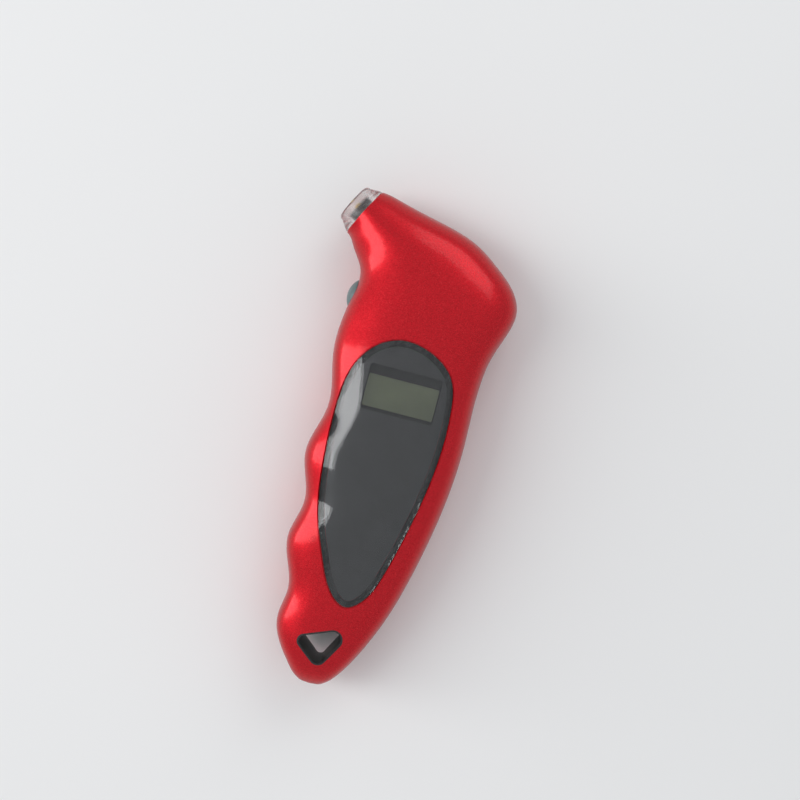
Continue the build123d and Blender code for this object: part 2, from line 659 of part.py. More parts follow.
NODES = {
    "front_shell": front_shell,
    "rear_shell": rear_shell,
    "display_lens": display_lens,
    "lens_adhesive": lens_adhesive,
    "display_mask": display_mask,
    "lcd_panel": lcd_panel,
    "lcd_bezel": lcd_bezel,
    "lcd_backlight": lcd_backlight,
    "zebra_strip": zebra_strip,
    "circuit_board": circuit_board,
    "control_chip": control_chip,
    "board_components": board_components,
    "nozzle_tip": nozzle_tip,
    "nozzle_seal": nozzle_seal,
    "nozzle_stem": nozzle_stem,
    "valve_pin": valve_pin,
    "stem_ring": stem_ring,
    "air_tube": air_tube,
    "pressure_sensor": pressure_sensor,
    "nozzle_led": nozzle_led,
    "lanyard_eyelet": lanyard_eyelet,
    "power_button": power_button,
    "switch_plunger": switch_plunger,
    "tactile_switch": tactile_switch,
    "battery_spring": battery_spring,
    "battery_contact": battery_contact,
    "battery_cover": battery_cover,
    "battery_cover_screw": battery_cover_screw,
    "housing_screws": housing_screws,
}
for number in range(CELL_COUNT):
    NODES[f"battery_cell_{number + 1}"] = lambda number=number: battery_cell(number)


def main():
    """Make every piece, centre the whole on its resting face and write it."""
    pieces = {name: make() for name, make in NODES.items()}
    skin = [point for name in OUTER_PIECES for point in pieces[name].tessellate(MEASURE_STEP)[0]]
    xs, ys = [point.X for point in skin], [point.Y for point in skin]
    lift = Pos(-(min(xs) + max(xs)) / 2, -(min(ys) + max(ys)) / 2, BACK_FLAT)
    print("width", max(xs) - min(xs), "length", max(ys) - min(ys))
    print("moved", lift.position, "nozzle", NOZZLE_AT + lift.position, NOZZLE_DIRECTION)
    os.makedirs("parts", exist_ok=True)
    for name, piece in pieces.items():
        export_step(lift * piece, f"parts/{name}.step")


main()
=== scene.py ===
"""Looks of a digital tyre pressure gauge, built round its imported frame.

The housing, lens and inner pieces are the frame's own solids with finished materials. The nozzle, its
seal, the button, the battery door and the screws are modelled here and ride on the frame's bodies.
"""
import json
import math

import bmesh
import bpy
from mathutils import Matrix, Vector


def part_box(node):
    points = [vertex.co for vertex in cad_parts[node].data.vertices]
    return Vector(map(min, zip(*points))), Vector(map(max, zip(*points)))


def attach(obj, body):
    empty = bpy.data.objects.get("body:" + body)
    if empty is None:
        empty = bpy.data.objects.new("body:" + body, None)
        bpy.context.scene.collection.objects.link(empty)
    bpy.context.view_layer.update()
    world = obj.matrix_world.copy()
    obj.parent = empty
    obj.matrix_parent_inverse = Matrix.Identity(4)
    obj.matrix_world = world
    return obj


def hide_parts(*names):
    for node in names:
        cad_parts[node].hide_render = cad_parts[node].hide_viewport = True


bl_info = {
    "name": "Pressure gauge workshop",
    "version": (1, 0, 0),
    "blender": (4, 5, 0),
    "location": "3D View > Sidebar > Gauge",
    "description": "Models and finishes the pieces of a digital tyre pressure gauge",
    "category": "Object",
}

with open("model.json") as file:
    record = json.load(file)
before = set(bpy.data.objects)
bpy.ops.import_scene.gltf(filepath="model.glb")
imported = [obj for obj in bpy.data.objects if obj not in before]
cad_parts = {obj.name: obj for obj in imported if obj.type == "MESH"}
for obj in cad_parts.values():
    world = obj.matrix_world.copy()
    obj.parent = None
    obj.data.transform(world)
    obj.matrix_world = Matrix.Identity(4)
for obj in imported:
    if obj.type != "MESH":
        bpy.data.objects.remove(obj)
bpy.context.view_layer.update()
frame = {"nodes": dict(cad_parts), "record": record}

MM = 0.001
HOUSING = "housing"
UP, RIGHT = Vector((0, 0, 1)), Vector((1, 0, 0))

# The nozzle's seam with the housing lies on its axis, behind the relief groove and the socket's wall.
SOCKET = next(mount for mount in frame["record"]["mounts"] if mount["name"] == "valve_socket")
NOZZLE_AXIS = Vector(SOCKET["axis"]).normalized()
NOZZLE_SIDE = NOZZLE_AXIS.cross(UP).normalized()
SOCKET_R = SOCKET["dims"]["r_mm"] * MM
SOCKET_WALL = SOCKET["dims"]["length_mm"] * MM
RELIEF_START, RELIEF_END = 1.9 * MM, 2.7 * MM
RELIEF_R = 4.4 * MM
NOZZLE_SEAM = Vector(SOCKET["pos_m"]) - NOZZLE_AXIS * (RELIEF_END + SOCKET_WALL / 2)
NECK_R, NECK_DEPTH = 5.5 * MM, 2.4 * MM
COLLAR_R, COLLAR_DEPTH = 6.6 * MM, 3.8 * MM
SEAL_SEAT_R = 4.0 * MM
SEAL_R = 3.98 * MM

PARTING_HEIGHT = NOZZLE_SEAM.z

# Inside the battery bay, from this height up, the lacquer gives way to bare black plastic.
BAY_FLOOR = 1.45 * MM
BARE_BLACK = (0.016, 0.016, 0.017)


def middle(node):
    """Centre of a frame node's box."""
    low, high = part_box(node)
    return (low + high) / 2


def quadrant_centres(node):
    """Centres of four like solids of a node, one in each quadrant round its middle."""
    centre = middle(node)
    spots = [vertex.co for vertex in frame["nodes"][node].data.vertices]
    found = []
    for left in (True, False):
        for near in (True, False):
            group = [spot for spot in spots
                     if (spot.x < centre.x) == left and (spot.y < centre.y) == near]
            found.append(Vector([(min(spot[axis] for spot in group) + max(spot[axis] for spot in group)) / 2
                                 for axis in range(3)]))
    return found


# ---------------------------------------------------------------- settings


class GaugePaint(bpy.types.PropertyGroup):
    """Lacquer of the two shells and the battery cover."""

    red: bpy.props.FloatVectorProperty(
        name="Red", description="Colour of the lacquer where light meets it straight on",
        subtype="COLOR", size=3, min=0, max=1, default=(0.60, 0.013, 0.027))
    deep_red: bpy.props.FloatVectorProperty(
        name="Deep red", description="Colour of the lacquer's darker flakes",
        subtype="COLOR", size=3, min=0, max=1, default=(0.34, 0.004, 0.010))
    flake_size: bpy.props.FloatProperty(
        name="Flake size", description="Width of one metallic flake",
        subtype="DISTANCE", unit="LENGTH", default=0.11 * MM)
    peel_size: bpy.props.FloatProperty(
        name="Orange peel", description="Width of the clear coat's slow ripples",
        subtype="DISTANCE", unit="LENGTH", default=2.6 * MM)
    metal: bpy.props.FloatProperty(
        name="Metallic share", description="How metallic the lacquer is",
        subtype="FACTOR", min=0, max=1, default=0.62)


class GaugeDisplay(bpy.types.PropertyGroup):
    """Lens, mask and display."""

    lens_tint: bpy.props.FloatVectorProperty(
        name="Lens tint", description="Colour of the clear lens",
        subtype="COLOR", size=3, min=0, max=1, default=(0.93, 0.94, 0.95))
    mask_black: bpy.props.FloatVectorProperty(
        name="Mask black", description="Colour of the printed mask behind the lens",
        subtype="COLOR", size=3, min=0, max=1, default=(0.027, 0.027, 0.029))
    cell_olive: bpy.props.FloatVectorProperty(
        name="Display olive", description="Colour of the unlit display",
        subtype="COLOR", size=3, min=0, max=1, default=(0.140, 0.162, 0.080))


class GaugeTrim(bpy.types.PropertyGroup):
    """Nozzle, seal and button."""

    nozzle_tint: bpy.props.FloatVectorProperty(
        name="Nozzle tint", description="Colour of the clear nozzle",
        subtype="COLOR", size=3, min=0, max=1, default=(0.93, 0.91, 0.90))
    nozzle_frost: bpy.props.FloatProperty(
        name="Nozzle frost", description="Roughness of the nozzle's moulded skin",
        subtype="FACTOR", min=0, max=1, default=0.24)
    button_colour: bpy.props.FloatVectorProperty(
        name="Button", description="Colour of the soft button",
        subtype="COLOR", size=3, min=0, max=1, default=(0.105, 0.145, 0.148))
    seal_grey: bpy.props.FloatVectorProperty(
        name="Seal", description="Colour of the rubber seal",
        subtype="COLOR", size=3, min=0, max=1, default=(0.075, 0.080, 0.082))
    nozzle_length: bpy.props.FloatProperty(
        name="Nozzle length", description="From the seam to the mouth",
        subtype="DISTANCE", unit="LENGTH", default=5.0 * MM)
    base_radius: bpy.props.FloatProperty(
        name="Nozzle base", description="Radius where the nozzle meets the housing",
        subtype="DISTANCE", unit="LENGTH", default=7.95 * MM)
    mouth_radius: bpy.props.FloatProperty(
        name="Nozzle mouth", description="Outer radius near the mouth",
        subtype="DISTANCE", unit="LENGTH", default=6.3 * MM)


class GaugeStage(bpy.types.PropertyGroup):
    """Floor, light and camera."""

    floor_colour: bpy.props.FloatVectorProperty(
        name="Floor", description="Colour of the pale floor",
        subtype="COLOR", size=3, min=0, max=1, default=(0.86, 0.86, 0.855))
    key_watts: bpy.props.FloatProperty(
        name="Key light", description="Power of the tall soft light at the finger side",
        unit="POWER", default=15.0)
    fill_watts: bpy.props.FloatProperty(
        name="Fill light", description="Power of the light beyond the head",
        unit="POWER", default=4.0)
    sky: bpy.props.FloatProperty(
        name="Surroundings", description="Brightness of the surroundings",
        min=0, default=0.60)
    camera_height: bpy.props.FloatProperty(
        name="Camera height", description="Height of the camera over the parting plane",
        subtype="DISTANCE", unit="LENGTH", default=0.55)
    field: bpy.props.FloatProperty(
        name="Field", description="Width of the picture at the parting plane",
        subtype="DISTANCE", unit="LENGTH", default=0.2427)
    aim: bpy.props.FloatVectorProperty(
        name="Aim", description="From the lens's middle to the point under the camera",
        subtype="TRANSLATION", unit="LENGTH", size=3, default=(1.05 * MM, 23.15 * MM, 0.0))
    lean: bpy.props.FloatProperty(
        name="Lean", description="How far the grip leans to the right in the picture",
        subtype="ANGLE", unit="ROTATION", default=math.radians(14.5))


SETTINGS = {"gauge_paint": GaugePaint, "gauge_display": GaugeDisplay,
            "gauge_trim": GaugeTrim, "gauge_stage": GaugeStage}

# ---------------------------------------------------------------- material helpers


def new_material(name):
    """Empty node material with its shader: (material, nodes, links, shader)."""
    material = bpy.data.materials.new(name)
    material.use_nodes = True
    tree = material.node_tree
    return material, tree.nodes, tree.links, tree.nodes["Principled BSDF"]


def set_sockets(shader, **values):
    """Plain values on the shader's own sockets, with underscores for spaces."""
    for key, value in values.items():
        shader.inputs[key.replace("_", " ")].default_value = value


def object_place(nodes):
    """Object coordinates."""
    return nodes.new("ShaderNodeTexCoord").outputs["Object"]


def noise(nodes, links, place, size, detail=2.0, rough=0.5):
    """Noise whose features are size metres across."""
    node = nodes.new("ShaderNodeTexNoise")
    node.inputs["Scale"].default_value = 1 / size
    node.inputs["Detail"].default_value = detail
    node.inputs["Roughness"].default_value = rough
    links.new(place, node.inputs["Vector"])
    return node.outputs["Fac"]


def ramp(nodes, links, factor, stops):
    """Colour ramp from (position, colour) stops."""
    node = nodes.new("ShaderNodeValToRGB")
    elements = node.color_ramp.elements
    while len(elements) < len(stops):
        elements.new(0.5)
    for element, (position, colour) in zip(elements, stops):
        element.position = position
        element.color = (*colour, 1)
    links.new(factor, node.inputs["Fac"])
    return node.outputs["Color"]


def spread(nodes, links, factor, low, high):
    """Map a 0 to 1 factor onto a range."""
    node = nodes.new("ShaderNodeMapRange")
    node.inputs["To Min"].default_value = low
    node.inputs["To Max"].default_value = high
    links.new(factor, node.inputs["Value"])
    return node.outputs["Result"]


def bump(nodes, links, height, strength, depth, normal=None):
    """Bump normal from a height."""
    node = nodes.new("ShaderNodeBump")
    node.inputs["Strength"].default_value = strength
    node.inputs["Distance"].default_value = depth
    links.new(height, node.inputs["Height"])
    if normal is not None:
        links.new(normal, node.inputs["Normal"])
    return node.outputs["Normal"]


def inside_box(nodes, links, place, low, high):
    """1 inside a box given by its corners and 0 outside."""
    parts = nodes.new("ShaderNodeSeparateXYZ")
    links.new(place, parts.inputs["Vector"])
    product = None
    for axis, output in enumerate(parts.outputs):
        near = nodes.new("ShaderNodeMath")
        near.operation = "COMPARE"
        near.inputs[1].default_value = (low[axis] + high[axis]) / 2
        near.inputs[2].default_value = (high[axis] - low[axis]) / 2
        links.new(output, near.inputs[0])
        if product is None:
            product = near.outputs["Value"]
            continue
        both = nodes.new("ShaderNodeMath")
        both.operation = "MULTIPLY"
        links.new(product, both.inputs[0])
        links.new(near.outputs["Value"], both.inputs[1])
        product = both.outputs["Value"]
    return product


def shade(colour, factor):
    """A colour made lighter or darker."""
    return tuple(min(1.0, channel * factor) for channel in colour)


# ---------------------------------------------------------------- materials


def red_lacquer(paint):
    """Metallic red lacquer under a clear coat with faint orange peel; the battery bay inside is bare."""
    material, nodes, links, shader = new_material("red_lacquer")
    place = object_place(nodes)
    flakes = nodes.new("ShaderNodeTexVoronoi")
    flakes.inputs["Scale"].default_value = 1 / paint.flake_size
    links.new(place, flakes.inputs["Vector"])
    sparkle = nodes.new("ShaderNodeSeparateColor")
    links.new(flakes.outputs["Color"], sparkle.inputs["Color"])
    glint = (0.78, 0.07, 0.08)
    colour = ramp(nodes, links, sparkle.outputs["Red"], [
        (0.0, paint.deep_red), (0.55, paint.red), (0.95, shade(paint.red, 1.12)), (1.0, glint)])
    low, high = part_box("battery_cover")
    bay = inside_box(nodes, links, place, (low.x, low.y, BAY_FLOOR), (high.x, high.y, PARTING_HEIGHT))
    bare = nodes.new("ShaderNodeMix")
    bare.data_type = "RGBA"
    links.new(bay, bare.inputs["Factor"])
    links.new(colour, bare.inputs["A"])
    bare.inputs["B"].default_value = (*BARE_BLACK, 1)
    links.new(bare.outputs["Result"], shader.inputs["Base Color"])
    cloud = noise(nodes, links, place, 14 * MM, 2)
    links.new(spread(nodes, links, cloud, 0.30, 0.40), shader.inputs["Roughness"])
    tilt = bump(nodes, links, sparkle.outputs["Green"], 0.16, 0.02 * MM)
    links.new(tilt, shader.inputs["Normal"])
    peel = bump(nodes, links, noise(nodes, links, place, paint.peel_size, 1), 0.10, 0.05 * MM)
    links.new(peel, shader.inputs["Coat Normal"])
    set_sockets(shader, Metallic=paint.metal, Coat_Weight=0.6, Coat_Roughness=0.15, Coat_IOR=1.4,
                Specular_Tint=(0.45, 0.02, 0.03, 1), Coat_Tint=(1.0, 0.45, 0.45, 1))
    return material


def moulded_plastic(name, colour, rough=0.42, grain=0.35 * MM, depth=0.012 * MM):
    """Satin moulded plastic with a fine spark grain and slow gloss changes."""
    material, nodes, links, shader = new_material(name)
    place = object_place(nodes)
    cloud = noise(nodes, links, place, 6 * MM, 3)
    links.new(ramp(nodes, links, cloud, [(0.3, shade(colour, 0.85)), (0.7, shade(colour, 1.15))]),
              shader.inputs["Base Color"])
    links.new(spread(nodes, links, cloud, rough - 0.06, rough + 0.06), shader.inputs["Roughness"])
    links.new(bump(nodes, links, noise(nodes, links, place, grain, 2), 0.35, depth),
              shader.inputs["Normal"])
    return material


def soft_rubber(name, colour, rough=0.6):
    """Moulded rubber with a dry sheen."""
    material = moulded_plastic(name, colour, rough, 0.25 * MM, 0.015 * MM)
    shader = material.node_tree.nodes["Principled BSDF"]
    set_sockets(shader, Sheen_Weight=0.25, Sheen_Roughness=0.4)
    return material


def machined_metal(name, colour, rough=0.24):
    """Bare metal with fine tool marks and light tarnish."""
    material, nodes, links, shader = new_material(name)
    place = object_place(nodes)
    tarnish = noise(nodes, links, place, 1.6 * MM, 3)
    links.new(ramp(nodes, links, tarnish, [(0.3, shade(colour, 0.72)), (0.65, colour)]),
              shader.inputs["Base Color"])
    links.new(spread(nodes, links, tarnish, rough + 0.14, rough), shader.inputs["Roughness"])
    links.new(bump(nodes, links, noise(nodes, links, place, 0.12 * MM, 1), 0.25, 0.006 * MM),
              shader.inputs["Normal"])
    set_sockets(shader, Metallic=1.0)
    return material


def clear_plastic(name, tint, frost, ior, ripple):
    """Clear moulded plastic with faint flow ripples."""
    material, nodes, links, shader = new_material(name)
    place = object_place(nodes)
    cloud = noise(nodes, links, place, 3 * MM, 3)
    links.new(spread(nodes, links, cloud, frost * 0.7, frost * 1.3), shader.inputs["Roughness"])
    links.new(ramp(nodes, links, cloud, [(0.3, shade(tint, 0.97)), (0.7, tint)]),
              shader.inputs["Base Color"])
    links.new(bump(nodes, links, noise(nodes, links, place, 1.8 * MM, 1), 0.2, ripple),
              shader.inputs["Normal"])
    set_sockets(shader, Transmission_Weight=1.0, IOR=ior)
    return material


def printed_mask(colour):
    """Black ink on film."""
    return moulded_plastic("printed_mask", colour, 0.45, 2.0 * MM, 0.001 * MM)


def display_olive(colour):
    """Unlit reflective display: olive grey with a fine electrode grid and slow shading."""
    material, nodes, links, shader = new_material("display_olive")
    place = object_place(nodes)
    cloud = noise(nodes, links, place, 9 * MM, 1)
    links.new(ramp(nodes, links, cloud, [(0.25, shade(colour, 0.82)), (0.75, shade(colour, 1.12))]),
              shader.inputs["Base Color"])
    grid = nodes.new("ShaderNodeTexBrick")
    grid.inputs["Scale"].default_value = 1 / (0.5 * MM)
    links.new(place, grid.inputs["Vector"])
    links.new(bump(nodes, links, grid.outputs["Fac"], 0.12, 0.004 * MM), shader.inputs["Normal"])
    set_sockets(shader, Roughness=0.34, Coat_Weight=0.4, Coat_Roughness=0.1)
    return material


def circuit_green():
    """Solder mask over copper tracks."""
    material, nodes, links, shader = new_material("circuit_green")
    place = object_place(nodes)
    tracks = nodes.new("ShaderNodeTexVoronoi")
    tracks.feature = "DISTANCE_TO_EDGE"
    tracks.distance = "MANHATTAN"
    tracks.inputs["Scale"].default_value = 1 / (3.2 * MM)
    links.new(place, tracks.inputs["Vector"])
    track, ground = (0.04, 0.26, 0.08), (0.012, 0.10, 0.035)
    links.new(ramp(nodes, links, tracks.outputs["Distance"], [(0.05, track), (0.09, ground)]),
              shader.inputs["Base Color"])
    set_sockets(shader, Roughness=0.35, Coat_Weight=0.5)
    return material


MATERIALS = {}


def make_materials(scene):
    """Every finish of the gauge, by name."""
    paint, display, trim = scene.gauge_paint, scene.gauge_display, scene.gauge_trim
    MATERIALS.update({
        "lacquer": red_lacquer(paint),
        "lens": clear_plastic("lens_acrylic", tuple(display.lens_tint), 0.05, 1.49, 0.002 * MM),
        "mask": printed_mask(tuple(display.mask_black)),
        "olive": display_olive(tuple(display.cell_olive)),
        "nozzle": clear_plastic("nozzle_clear", tuple(trim.nozzle_tint), trim.nozzle_frost, 1.46,
                                0.015 * MM),
        "button": soft_rubber("button_rubber", tuple(trim.button_colour), 0.42),
        "seal": soft_rubber("seal_rubber", tuple(trim.seal_grey), 0.55),
        "black": moulded_plastic("black_plastic", (0.014, 0.014, 0.015)),
        # The lens tape is black and made darker still than the mask: partly its own black, partly painted
        # shade for the dark band round the lens's rim.
        "tape_and_painted_rim_shade": moulded_plastic("mounting_tape_and_painted_shade", (0.006, 0.006, 0.007), 0.6),
        # The display bezel is black plastic made darker still: partly its own black, partly painted shade
        # for the recess round the display.
        "bezel": moulded_plastic("bezel_black_and_painted_shade", (0.004, 0.004, 0.005), 0.6),
        "guide": clear_plastic("light_guide_acrylic", (0.90, 0.92, 0.88), 0.3, 1.49, 0.02 * MM),
        "silicone": soft_rubber("silicone", (0.70, 0.70, 0.66), 0.5),
        "brass": machined_metal("turned_brass", (0.80, 0.58, 0.25)),
        "steel": machined_metal("zinc_steel", (0.46, 0.46, 0.47)),
        "nickel": machined_metal("nickel_plate", (0.66, 0.65, 0.62), 0.16),
        "board": circuit_green(),
        "ceramic": moulded_plastic("ceramic_parts", (0.33, 0.25, 0.17)),
        "epoxy": clear_plastic("led_epoxy", (0.95, 0.95, 0.95), 0.05, 1.5, 0.01 * MM),
    })


NODE_FINISHES = {
    "front_shell": "lacquer", "rear_shell": "lacquer", "display_lens": "lens", "lens_adhesive": "tape_and_painted_rim_shade",
    "display_mask": "mask", "lcd_panel": "olive", "lcd_bezel": "bezel", "lcd_backlight": "guide",
    "zebra_strip": "seal", "circuit_board": "board", "control_chip": "black", "board_components": "ceramic",
    "nozzle_seal": "seal", "nozzle_stem": "brass", "valve_pin": "brass", "stem_ring": "seal",
    "air_tube": "silicone", "pressure_sensor": "black", "nozzle_led": "epoxy", "lanyard_eyelet": "black",
    "switch_plunger": "black", "tactile_switch": "black", "battery_spring": "nickel",
    "battery_contact": "nickel", "battery_cover": "lacquer", "battery_cover_screw": "steel",
    "housing_screws": "steel", "battery_cell_1": "nickel", "battery_cell_2": "nickel",
    "battery_cell_3": "nickel", "nozzle_tip": "nozzle", "power_button": "button",
}


def give_material(piece, name):
    """One material all over a piece."""
    piece.data.materials.clear()
    piece.data.materials.append(MATERIALS[name])


# ---------------------------------------------------------------- modelling helpers


def start(add, **where):
    """Deselect everything, add a primitive and return it."""
    bpy.ops.object.select_all(action="DESELECT")
    add(**where)
    return bpy.context.active_object


def settle(piece, name, body, finish):
    """Bake the place into the mesh, name the piece and tie it to its body and slot."""
    bpy.ops.object.select_all(action="DESELECT")
    piece.select_set(True)
    bpy.context.view_layer.objects.active = piece
    bpy.ops.object.transform_apply(location=True, rotation=True, scale=True)
    piece.name = name
    piece.data.name = name
    give_material(piece, finish)
    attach(piece, body)
    return piece


def turn(profile, centre, axis, side, steps):
    """Spin a profile of (radius, distance) points, drawn point by point, about an axis."""
    first = centre + side * profile[0][0] + axis * profile[0][1]
    piece = start(bpy.ops.mesh.primitive_plane_add, size=MM, location=first)
    bpy.ops.object.mode_set(mode="EDIT")
    bpy.ops.mesh.merge(type="CENTER")
    before = profile[0]
    for point in profile[1:]:
        step = side * (point[0] - before[0]) + axis * (point[1] - before[1])
        bpy.ops.mesh.extrude_region_move(TRANSFORM_OT_translate={"value": step})
        before = point
    bpy.ops.mesh.select_all(action="SELECT")
    bpy.ops.mesh.spin(steps=steps, angle=2 * math.pi, center=centre, axis=axis)
    bpy.ops.mesh.select_all(action="SELECT")
    bpy.ops.mesh.remove_doubles(threshold=0.002 * MM)
    bpy.ops.mesh.normals_make_consistent(inside=False)
    bpy.ops.object.mode_set(mode="OBJECT")
    return piece


def smooth(piece, angle=35):
    """Smooth shading below an angle."""
    bpy.ops.object.select_all(action="DESELECT")
    piece.select_set(True)
    bpy.context.view_layer.objects.active = piece
    bpy.ops.object.shade_smooth_by_angle(angle=math.radians(angle))


def quarter(centre, radius, start_angle, end_angle, count):
    """Points of an arc as (radius, distance) pairs, angles in degrees."""
    points = []
    for index in range(count + 1):
        angle = math.radians(start_angle + (end_angle - start_angle) * index / count)
        points.append((centre[0] + radius * math.cos(angle), centre[1] + radius * math.sin(angle)))
    return points


def join(base, *others):
    """Join pieces into the first."""
    bpy.ops.object.select_all(action="DESELECT")
    for piece in (base, *others):
        piece.select_set(True)
    bpy.context.view_layer.objects.active = base
    bpy.ops.object.join()
    bpy.ops.object.transform_apply(location=True, rotation=True, scale=True)


def combine(piece, tool, operation="DIFFERENCE"):
    """Cut a piece by a tool, or weld the tool on with UNION, and throw the tool away."""
    bpy.ops.object.select_all(action="DESELECT")
    piece.select_set(True)
    bpy.context.view_layer.objects.active = piece
    change = piece.modifiers.new("combine", "BOOLEAN")
    change.operation = operation
    change.solver = "EXACT"
    change.object = tool
    bpy.ops.object.modifier_apply(modifier=change.name)
    bpy.data.objects.remove(tool)


def rounded_box(low, high, corner, soft=0.0, soft_side=-1, segments=8):
    """Box with rounded upright edges, and softened edges round its lower (-1) or upper (1) face."""
    low, high = Vector(low), Vector(high)
    piece = start(bpy.ops.mesh.primitive_cube_add, size=1, location=(low + high) / 2)
    piece.scale = high - low
    bpy.ops.object.transform_apply(location=True, rotation=True, scale=True)
    bpy.ops.object.mode_set(mode="EDIT")
    bpy.ops.mesh.select_mode(type="EDGE")
    bpy.ops.mesh.select_all(action="DESELECT")
    mesh = bmesh.from_edit_mesh(piece.data)
    for edge in mesh.edges:
        ends = [vertex.co for vertex in edge.verts]
        edge.select_set(abs(ends[0].z - ends[1].z) > (high.z - low.z) / 2)
    bpy.ops.mesh.bevel(offset=corner, segments=segments, affect="EDGES")
    if soft:
        bpy.ops.mesh.select_all(action="DESELECT")
        mesh = bmesh.from_edit_mesh(piece.data)
        level = low.z if soft_side < 0 else high.z
        for edge in mesh.edges:
            edge.select_set(all(abs(vertex.co.z - level) < soft / 10 for vertex in edge.verts))
        bpy.ops.mesh.bevel(offset=soft, segments=3, affect="EDGES")
    bpy.ops.mesh.select_mode(type="VERT")
    bpy.ops.object.mode_set(mode="OBJECT")
    return piece


def round_post(x, y, radius, low, high):
    """Upright round post."""
    return start(bpy.ops.mesh.primitive_cylinder_add, vertices=48, radius=radius, depth=high - low,
                 location=(x, y, (low + high) / 2))


def pan_screw(seat, head_r, head_h, shank_r, shank, recess):
    """Pan-head screw pointing up from its seat, with ringed threads and a tapered cross recess."""
    pitch, root = 0.7 * MM, shank_r * 0.74
    point, plain, bevel = 0.9 * MM, 0.7 * MM, 0.1 * MM
    profile = [(0.0, -shank), (shank_r * 0.35, -shank)]
    for index in range(int((shank - point - plain) / pitch)):
        low = -shank + point + index * pitch
        profile += [(root, low), (shank_r, low + pitch * 0.42), (shank_r, low + pitch * 0.58)]
    profile += [(root, -0.5 * MM), (shank_r, -0.3 * MM), (shank_r, 0.0), (head_r - bevel, 0.0),
                (head_r, bevel)]
    crown = head_h * 0.62
    profile += [(head_r * math.cos(angle) ** 0.8, head_h - crown + crown * math.sin(angle))
                for angle in (math.radians(step) for step in range(0, 81, 10))]
    profile += [(0.0, head_h)]
    screw = turn(profile, seat, -UP, RIGHT, 48)
    smooth(screw, 40)
    top = seat - UP * head_h
    blade_long, blade_wide, blade_taper = head_r * 1.15, head_r * 0.26, 0.45
    for quarter_turn in (0, 1):
        blade = start(bpy.ops.mesh.primitive_cube_add, size=1, location=top)
        blade.scale = (blade_long, blade_wide, recess * 2)
        blade.rotation_euler = (0, 0, quarter_turn * math.pi / 2)
        bpy.ops.object.mode_set(mode="EDIT")
        bpy.ops.mesh.select_all(action="DESELECT")
        mesh = bmesh.from_edit_mesh(blade.data)
        for face in mesh.faces:
            face.select_set(face.normal.z > 0.9)
        bpy.ops.transform.resize(value=(blade_taper, blade_taper, 1), center_override=top)
        bpy.ops.object.mode_set(mode="OBJECT")
        combine(screw, blade)
    return screw


# ---------------------------------------------------------------- operators


class GAUGE_OT_finish_frame(bpy.types.Operator):
    """Make every material and finish the frame's own pieces"""

    bl_idname = "gauge.finish_frame"
    bl_label = "Finish the frame"

    def execute(self, context):
        make_materials(context.scene)
        for node, finish in NODE_FINISHES.items():
            give_material(frame["nodes"][node], finish)
        return {"FINISHED"}


class GAUGE_OT_nozzle(bpy.types.Operator):
    """Turn the clear nozzle with its rolled mouth, neck and collar"""

    bl_idname = "gauge.nozzle"
    bl_label = "Nozzle"

    def execute(self, context):
        trim = context.scene.gauge_trim
        length, base, mouth = trim.nozzle_length, trim.base_radius, trim.mouth_radius
        foot, roll, lead_in = 0.25 * MM, 1.2 * MM, 0.4 * MM
        profile = [(SEAL_SEAT_R, -COLLAR_DEPTH), (COLLAR_R, -COLLAR_DEPTH), (COLLAR_R, -NECK_DEPTH),
                   (NECK_R, -NECK_DEPTH), (NECK_R, 0.0)]
        profile += quarter((base - foot, foot), foot, -90, 0, 4)
        profile += [(base - 0.3 * MM, 1.2 * MM), (mouth, length - roll - 0.1 * MM)]
        profile += quarter((mouth - roll, length - roll), roll, 12, 90, 9)
        profile += quarter((SOCKET_R + lead_in, length - lead_in), lead_in, 90, 180, 6)
        profile += [(SOCKET_R, RELIEF_END), (RELIEF_R, RELIEF_END), (RELIEF_R, RELIEF_START),
                    (SEAL_SEAT_R, RELIEF_START), (SEAL_SEAT_R, -COLLAR_DEPTH)]
        nozzle = turn(profile, NOZZLE_SEAM, NOZZLE_AXIS, NOZZLE_SIDE, 96)
        smooth(nozzle)
        settle(nozzle, "clear_nozzle", HOUSING, "nozzle")
        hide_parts("nozzle_tip")
        return {"FINISHED"}


class GAUGE_OT_seal(bpy.types.Operator):
    """Turn the rubber face seal with its raised lip and rounded shoulder"""

    bl_idname = "gauge.seal"
    bl_label = "Face seal"

    def execute(self, context):
        face, back, bore = RELIEF_START, 0.2 * MM, 1.7 * MM
        shoulder, lip = 0.35 * MM, 0.28 * MM
        dish, groove = 0.02 * MM, 0.35 * MM
        profile = [(bore, back), (SEAL_R, back)]
        profile += quarter((SEAL_R - shoulder, face - shoulder), shoulder, 0, 90, 6)
        profile += [(3.05 * MM, face - dish), (2.85 * MM, face - groove), (2.55 * MM, face - groove)]
        profile += quarter((bore + lip, face - lip), lip, 60, 180, 6)
        profile += [(bore, back)]
        seal = turn(profile, NOZZLE_SEAM, NOZZLE_AXIS, NOZZLE_SIDE, 72)
        smooth(seal)
        settle(seal, "face_seal", HOUSING, "seal")
        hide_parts("nozzle_seal")
        return {"FINISHED"}


